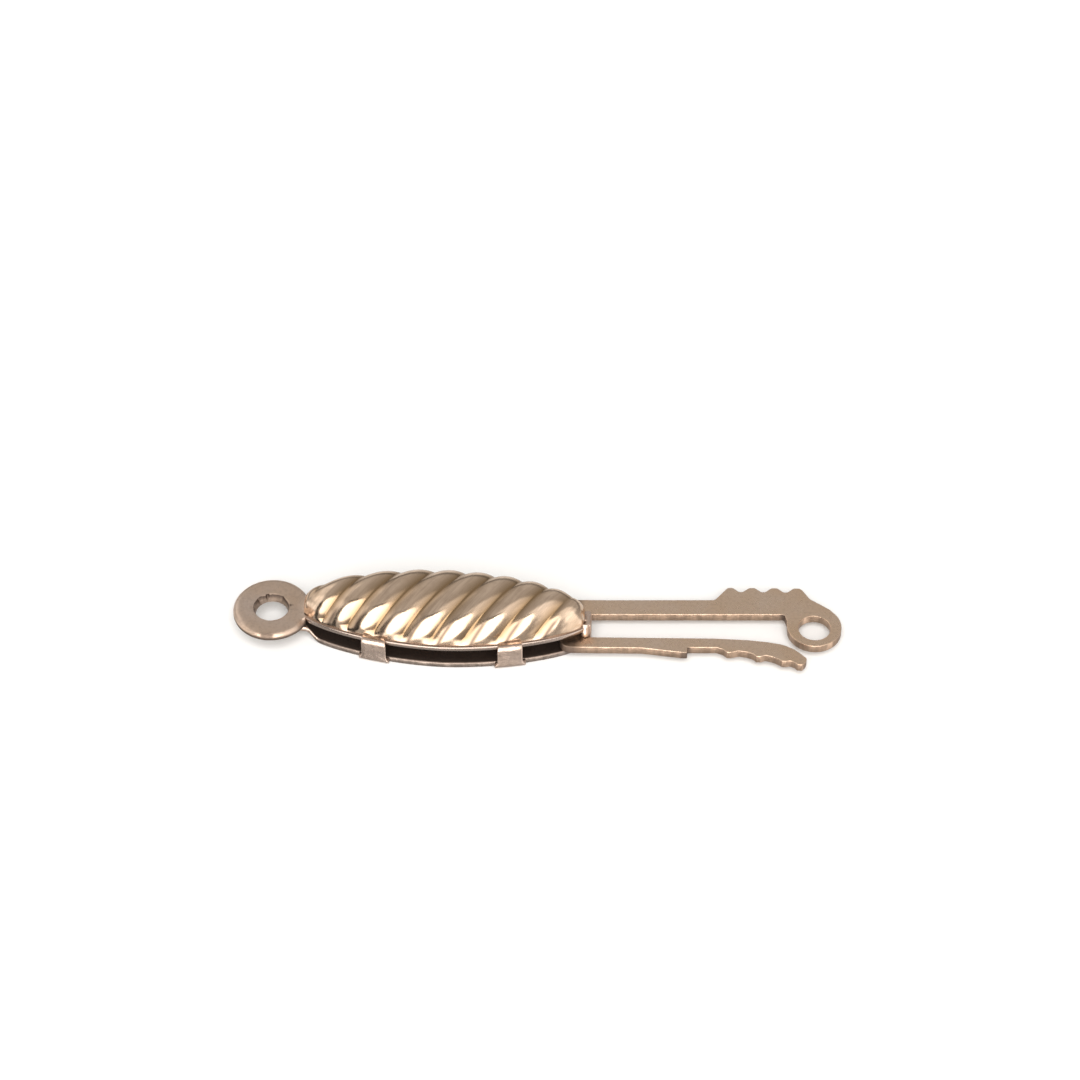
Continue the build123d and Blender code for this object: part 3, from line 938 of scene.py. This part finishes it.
class CLASP_OT_claws(bpy.types.Operator):
    """Build the four claws that are folded over the cover's rim"""

    bl_idname = "clasp.claws"
    bl_label = "Claws"

    def execute(self, context):
        sizes, finish = context.scene.clasp_case, context.scene.clasp_finish
        material = rose_gold(finish)
        thick = sizes.plate_thickness
        plate = thick / MM
        path = strip_path(
            [
                (-0.30, plate / 2, plate * 0.9, 0.70),
                (0.02, plate / 2 + 0.005, plate * 0.86, 0.74),
                (0.120, 0.23, 0.24, 0.74),
                (0.165, 0.33, 0.16, 0.66),
                (0.188, 0.43, 0.11, 0.61),
                (0.192, 0.60, 0.10, 0.60),
                (0.192, 0.90, 0.10, 0.60),
                (0.150, 1.25, 0.18, 0.60),
                (0.135, 1.37, 0.15, 0.59),
                (0.095, 1.445, 0.12, 0.58),
                (0.03, 1.475, 0.08, 0.56),
                (-0.05, 1.465, 0.05, 0.53),
                (-0.16, 1.455, 0.03, 0.50),
            ]
        )
        middle = 3.3 * MM

        def beside_rim(point):
            x = middle + point.x
            return Vector((x, -outline_half_width(sizes, x) - point.y, point.z))

        claw = folded_strip("claws", smooth_path(path), place=beside_rim)
        apply_tree(claw, four_copies_tree(), {"Half turn": math.pi, "Material": material})

        # Painted shade on the claws' inner faces, against the case below the rim top
        def painted_shade(point):
            proud = abs(point.y) - outline_half_width(sizes, point.x)
            sunk = ramp(0.08 * MM - proud, 0.0, 0.06 * MM)
            return 0.9 * sunk * ramp(1.40 * MM - point.z, 0, 0.1 * MM)

        paint(claw, "painted_shade", painted_shade)
        solids = [f"{side}_{end}_claw" for side in ("near", "far") for end in ("left", "right")]
        wear(claw, material, "case", "plate_gold", *solids)
        return {"FINISHED"}


class CLASP_OT_end_ring(bpy.types.Operator):
    """Build the thick end ring with its ragged hole, tail and solder"""

    bl_idname = "clasp.end_ring"
    bl_label = "End ring"

    def execute(self, context):
        sizes, finish = context.scene.clasp_case, context.scene.clasp_finish
        material = satin_gold(finish)
        bottom, top = 0.98 * MM, 1.48 * MM
        rim_top = sizes.plate_thickness + sizes.window_height + sizes.rim_thickness
        middle = Vector((-sizes.ring_position, 0, 0))
        hole_middle = middle - Vector((0, sizes.ring_hole_offset, 0))
        steps = 240
        outer, hole = sizes.ring_radius, sizes.ring_hole_radius
        edge = 0.34 * MM
        # Sections of the rim and of its solder by the case: how far in and how far up
        outside = [(0.30, 0.0), (0.14, 0.0), (0.05, 0.015), (0.012, 0.05), (0.0, 0.10), (0.0, 0.17)]
        outside += [(0.0, 0.23), (0.012, 0.275), (0.045, 0.33), (0.085, 0.39), (0.14, 0.435)]
        outside += [(0.22, 0.47), (0.34, 0.495)]
        solder = [(0.30, 0.0), (0.15, 0.0), (0.04, 0.0), (0.03, 0.1), (0.03, 0.3), (0.03, 0.5)]
        solder += [(0.03, 0.7), (0.03, 0.8), (0.03, 0.9), (0.0, 0.96), (-0.04, 1.02)]
        solder += [(-0.10, 1.05), (-0.15, 1.06)]
        flat = (0.8, 0.6, 0.45, 0.3, 0.2, 0.12)
        brink = [
            {"rise": 1.0, "reach": 0.08, "ragged": 1.0},
            {"rise": 0.97, "reach": 0.05, "ragged": 1.0},
            {"rise": 0.86, "reach": 0.03, "ragged": 0.95},
            {"rise": 0.68, "reach": 0.01, "ragged": 0.8},
            {"rise": 0.5, "reach": -0.005, "ragged": 0.35},
            {"rise": 0.3, "reach": -0.02, "ragged": 0.1},
            {"rise": 0.1, "reach": -0.02, "ragged": 0.0},
            {"rise": 0.0, "reach": 0.03, "ragged": 0.0},
        ]
        # Notches of the hole: at which degree, how many degrees wide, how deep
        notches = ((172, 9, 0.2), (138, 6, 0.19), (109, 3.5, 0.16), (60, 5, 0.06))
        neck_from, neck_to = math.cos(math.radians(29)), math.cos(math.radians(15))
        bm = bmesh.new()
        grid = []
        for k in range(steps):
            turn = 2 * math.pi * k / steps
            spot = Vector((math.cos(turn), math.sin(turn), 0))
            rim = self.reach_to_case(sizes, middle, spot, outer)
            neck = ramp(spot.x, neck_from, neck_to)
            rough = 0.6 * noise.noise(spot * 2.6) + 0.4 * noise.noise(spot * 6.0)
            upper = 0.15 + 0.85 * ramp(math.cos(turn - math.radians(125)), -0.1, 0.7)
            chips = 0.0
            for degrees, wide, deep in notches:
                off = (math.degrees(turn) - degrees) / wide
                chips += deep * MM * math.exp(-off * off)
            row = []
            for (inward, level), (near, rise) in zip(outside, solder):
                inward += (near - inward) * neck
                level += ((top - bottom) / MM * rise - level) * neck
                up = Vector((0, 0, bottom + level * MM))
                row.append(middle + spot * (rim - inward * MM) + up)
            inner_start = hole_middle + spot * hole
            marks = ramp(spot.x, 0.55, 0.85) * ramp(spot.y, -0.25, 0.1)
            outer_end = middle + spot * (rim - edge * (1 - neck))
            for share in flat:
                point = inner_start.lerp(outer_end, share)
                dip = 0.015 * noise.noise(point / MM * 1.3)
                dip -= marks * 0.05 * max(0.0, noise.noise(point / MM * 4.5) + 0.1)
                row.append(point + Vector((0, 0, top + (dip - 0.008) * MM)))
            for step in brink:
                bite = step["ragged"] * (upper * (0.05 + 0.10 * rough) * MM + chips)
                point = hole_middle + spot * (hole + step["reach"] * MM + max(bite, 0.0))
                level = bottom + (top - bottom) * step["rise"] - 0.006 * MM
                row.append(point + Vector((0, 0, level)))
            grid.append([bm.verts.new(point) for point in row])
        for row, following in zip(grid, grid[1:] + grid[:1]):
            for i, vert in enumerate(row):
                after = (i + 1) % len(row)
                bm.faces.new((vert, row[after], following[after], following[i]))
        ring = finish_mesh(bm, "end_ring_body", 45.0)

        def painted_shade(point):
            from_hole = (point - hole_middle).xy.length - hole
            # Painted shade on the hole's walls, darkest on their upper part and none on the top face
            hole_shade = 0.6 + 0.35 * ramp(point.z, bottom + 0.22 * MM, bottom + 0.4 * MM)
            hole_shade *= ramp(0.3 * MM - from_hole, 0, 0.1 * MM)
            # Painted shade: a darker patch that breaks the near bevel's highlight
            worn = 0.75 * ramp(0.42 * MM - abs(point.x - middle.x + 0.05 * MM), 0, 0.2 * MM)
            worn *= ramp(top - 0.05 * MM - point.z, 0, 0.05 * MM) * ramp(-point.y, 0, MM)
            # Painted shade on the lower outer wall
            side = 0.85 * ramp(bottom + 0.29 * MM - point.z, 0, 0.12 * MM)
            side *= ramp(from_hole, 0.5 * MM, 0.6 * MM)
            # Painted shade where the ring runs into the case
            case_join_shade = 0.5 * ramp(point.x, -7.1 * MM, -6.9 * MM)
            case_join_shade *= ramp(rim_top - point.z, 0, 0.1 * MM)
            hole_shade *= ramp(top - 0.01 * MM - point.z, 0, 0.03 * MM)
            return max(worn, side, hole_shade, case_join_shade)

        paint(ring, "painted_shade", painted_shade)
        wear(ring, material, "case", "ring_gold", "end_ring")

        # Sections of the tail in millimetres: place along X, half width and thickness
        tail_rows = [(-7.42, 0.30, 0.24), (-7.3, 0.38, 0.29), (-6.9, 0.39, 0.29)]
        tail_rows += [(-6.3, 0.36, 0.28), (-6.08, 0.30, 0.24)]
        rings = []
        for x, wide, high in tail_rows:
            section = rounded_section(wide * MM, high / 2 * MM, 0.08 * MM)
            rings.append([Vector((x * MM, a, MM + b)) for a, b in section])
        tail = loft("end_ring_tail", rings)
        # Painted shade where the tail runs under the case
        paint(tail, "painted_shade", lambda p: 0.8 * ramp(p.x, -7.2 * MM, -6.9 * MM))
        wear(tail, material, "case", "ring_gold")
        return {"FINISHED"}

    @staticmethod
    def reach_to_case(sizes, middle, spot, outer):
        """How far the ring reaches from its middle along spot before it meets the case."""
        steps = 90
        for i in range(steps + 1):
            reach = outer * (0.7 + 0.3 * i / steps)
            point = middle + spot * reach
            beside = -point.x < sizes.case_length / 2
            if beside and abs(point.y) < outline_half_width(sizes, point.x):
                return reach
        return outer


def shade_sheet(piece, sizes, corners):
    """Marks the tongue sheet's cut edges, whose colour is partly painted shade, and paints shade in its
    corners.
    """
    top = sizes.rest + sizes.thickness
    paint(piece, "edge", lambda p: ramp(top - p.z, 0.3 * sizes.edge_round, sizes.edge_round))
    spots = [tongue_place(sizes) @ (Vector((x, y, 0)) * MM) for x, y in corners]

    # Painted shade in the sheet's inner corners, on its cut sides
    def corner_shade(point):
        away = min((point - spot).xy.length for spot in spots)
        return 0.8 * ramp(0.42 * MM - away, 0, 0.3 * MM) * ramp(top - point.z, 0, sizes.edge_round)

    paint(piece, "painted_shade", corner_shade)


def tongue_place(sizes):
    """Where the tongue's own flat drawing lies in the case's frame."""
    return (
        Matrix.Translation((sizes.post_middle, sizes.side_offset, sizes.rest + sizes.thickness / 2))
        @ Matrix.Rotation(sizes.lean, 4, "Z")
    )


class CLASP_OT_hook_tongue(bpy.types.Operator):
    """Build the hook tongue's main arm with its grip and ring"""

    bl_idname = "clasp.hook_tongue"
    bl_label = "Hook tongue"

    def execute(self, context):
        sizes, finish = context.scene.clasp_tongue, context.scene.clasp_finish
        slot, arm = sizes.slot_half / MM, sizes.arm_outer / MM
        ring_x, ring_y, ring_r = sizes.ring_position / MM, 0.13, sizes.ring_radius / MM
        corners = [
            (-1.455, -0.2, 0),
            (-0.255, -0.2, 0),
            (-0.255, slot, 0.4),
            (9.45, slot + 0.13, 0.12),
            (9.58, 0.42, 0.1),
        ]
        for degrees in range(180, 406, 5):
            turn = math.radians(degrees)
            corners.append((ring_x + ring_r * math.cos(turn), ring_y + ring_r * math.sin(turn), 0))
        corners += [(11.70, 1.22, 0.4), (11.22, 1.58, 0.6), (10.76, 1.90, 0.5)]
        corners += [(10.40, 2.50, 0.14), (10.27, 2.615, 0.1)]
        peak, dip, pitch, first = arm + 0.91, arm + 0.64, 1.09, 6.84
        for k in (3, 2, 1, 0):
            middle = first + k * pitch
            if k < 3:
                corners.append((middle + 0.15, peak, 0.13))
            if k > 0:
                corners.append((middle - 0.13, peak, 0.13))
                corners.append((middle - pitch / 2 + 0.09, dip, 0.16))
                corners.append((middle - pitch / 2 - 0.09, dip, 0.16))
        corners += [(6.74, peak - 0.01, 0.14), (6.09, arm + 0.08, 0.25)]
        corners += [(1.0, arm, 1.0), (-1.455, arm, 0.85)]
        outlines = [rounded_outline(corners), circle_outline(ring_x, 0, sizes.hole_radius / MM)]
        place = tongue_place(sizes)
        tongue = cut_sheet(
            "hook_tongue_sheet", outlines, sizes.thickness, sizes.edge_round, place
        )
        shade_sheet(tongue, sizes, [(9.45, slot + 0.1)])
        wear(tongue, tongue_gold(finish), "tongue", "tongue_gold", "hook_tongue")
        return {"FINISHED"}


class CLASP_OT_spring_lever(bpy.types.Operator):
    """Build the spring lever with its shoulder and saw teeth"""

    bl_idname = "clasp.spring_lever"
    bl_label = "Spring lever"

    def execute(self, context):
        sizes, finish = context.scene.clasp_tongue, context.scene.clasp_finish
        slot, edge = sizes.slot_half / MM, sizes.spring_outer / MM
        corners = [
            (-0.255, -0.2, 0),
            (-1.455, -0.2, 0),
            (-1.455, -edge, 0.85),
            (2.5, -edge, 1.0),
            (4.45, -edge - 0.27, 0.2),
            (4.7, -edge - 0.28, 0.07),
            (4.72, -1.34, 0.08),
            (5.6, -1.33, 0.4),
            (6.12, -1.32, 0.3),
            (6.42, -1.44, 0.1),
            (6.60, -1.62, 0.06),
            (6.80, -1.64, 0.06),
            (7.20, -1.53, 0.4),
            (7.55, -1.59, 0.4),
            (7.87, -1.72, 0.1),
            (8.02, -1.88, 0.06),
            (8.22, -1.89, 0.06),
            (8.48, -1.79, 0.3),
            (8.80, -1.89, 0.4),
            (9.10, -2.04, 0.1),
            (9.24, -2.17, 0.06),
            (9.44, -2.18, 0.06),
            (9.64, -2.13, 0.2),
            (9.86, -2.24, 0.2),
            (9.98, -2.38, 0.07),
            (10.22, -2.40, 0.1),
            (10.38, -2.22, 0.14),
            (10.46, -1.98, 0.14),
            (10.12, -1.62, 0.5),
            (9.85, -1.38, 0.8),
            (9.35, -1.10, 1.5),
            (8.6, -0.94, 2.0),
            (7.6, -0.82, 2.0),
            (6.0, -slot, 2.0),
            (-0.255, -slot, 0.3),
        ]
        place = tongue_place(sizes)
        outlines = [rounded_outline(corners)]
        lever = cut_sheet(
            "spring_lever_sheet", outlines, sizes.thickness, sizes.edge_round, place
        )
        shade_sheet(lever, sizes, [(4.72, -1.5), (4.62, -edge - 0.3)])
        start = place @ Vector((-0.75 * MM, -1.07 * MM, 0))
        end = place @ Vector((0.4 * MM, -1.07 * MM, 0))
        wear(lever, tongue_gold(finish), None, "tongue_gold", "spring_lever")
        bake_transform(lever, "tongue", "lever", start=start, end=end)
        return {"FINISHED"}


class CLASP_OT_stage(bpy.types.Operator):
    """Set the pale floor, the soft lights and the camera"""

    bl_idname = "clasp.stage"
    bl_label = "Stage"

    def execute(self, context):
        finish = context.scene.clasp_finish
        size = 4.0
        corners = [(-size, -size, 0), (size, -size, 0), (size, size, 0), (-size, size, 0)]
        mesh = bpy.data.meshes.new("floor")
        mesh.from_pydata(corners, [], [(0, 1, 2, 3)])
        mesh.transform(Matrix.Translation((0, 0, -0.02 * MM)))
        floor = bpy.data.objects.new("floor", mesh)
        floor.data.materials.append(plain_floor(finish))
        context.scene.collection.objects.link(floor)
        floor.visible_glossy = False

        target = Vector((4.25, 6.556, 0)) * MM
        away = Vector((-0.05756, 0.99834, 0))
        tilt, distance = math.radians(46.3), 175 * MM
        data = bpy.data.cameras.new("camera")
        data.sensor_width = SENSOR_WIDTH
        data.lens = FOV_FOCAL / PHOTO_WIDTH * SENSOR_WIDTH
        data.clip_start = 0.005
        camera = bpy.data.objects.new("camera", data)
        back = away * distance * math.cos(tilt)
        camera.location = target - back + Vector((0, 0, distance * math.sin(tilt)))
        camera.rotation_euler = (target - camera.location).to_track_quat("-Z", "Y").to_euler()
        context.scene.collection.objects.link(camera)
        context.scene.camera = camera

        width = 0.5
        lamp = bpy.data.lights.new("overhead", "AREA")
        lamp.size = width
        lamp.energy = OVERHEAD * math.pi * width * width
        overhead = bpy.data.objects.new("overhead", lamp)
        lamp_tilt = math.radians(56)
        overhead.location = Vector((0, 0, math.sin(lamp_tilt))) - away * math.cos(lamp_tilt)
        overhead.location *= LAMP_DISTANCE
        overhead.rotation_euler = overhead.location.to_track_quat("Z", "Y").to_euler()
        overhead.visible_glossy = False
        context.scene.collection.objects.link(overhead)
        context.scene.world = studio_sky()
        context.scene.view_settings.view_transform = "Standard"
        return {"FINISHED"}


class CLASP_PT_panel(bpy.types.Panel):
    """Lists the clasp's sizes, colours and steps in the sidebar"""

    bl_label = "Fish hook clasp"
    bl_idname = "CLASP_PT_panel"
    bl_space_type = "VIEW_3D"
    bl_region_type = "UI"
    bl_category = "Clasp"

    def draw(self, context):
        scene = context.scene
        for group in (scene.clasp_case, scene.clasp_tongue, scene.clasp_finish):
            box = self.layout.box()
            for name in group.__annotations__:
                box.prop(group, name)
        for operator in OPERATORS:
            self.layout.operator(operator.bl_idname)


OPERATORS = (
    CLASP_OT_stage,
    CLASP_OT_fluted_cover,
    CLASP_OT_back_plate,
    CLASP_OT_claws,
    CLASP_OT_end_ring,
    CLASP_OT_hook_tongue,
    CLASP_OT_spring_lever,
)
CLASSES = (CaseSizes, TongueSizes, GoldFinish, *OPERATORS, CLASP_PT_panel)


def register():
    for cls in CLASSES:
        bpy.utils.register_class(cls)
    bpy.types.Scene.clasp_case = PointerProperty(type=CaseSizes)
    bpy.types.Scene.clasp_tongue = PointerProperty(type=TongueSizes)
    bpy.types.Scene.clasp_finish = PointerProperty(type=GoldFinish)


def unregister():
    for name in ("clasp_case", "clasp_tongue", "clasp_finish"):
        delattr(bpy.types.Scene, name)
    for cls in reversed(CLASSES):
        bpy.utils.unregister_class(cls)


def main():
    register()
    for operator in OPERATORS:
        group, name = operator.bl_idname.split(".")
        if getattr(getattr(bpy.ops, group), name)() != {"FINISHED"}:
            raise RuntimeError(operator.bl_label + " was not built")


if __name__ == "__main__":
    main()
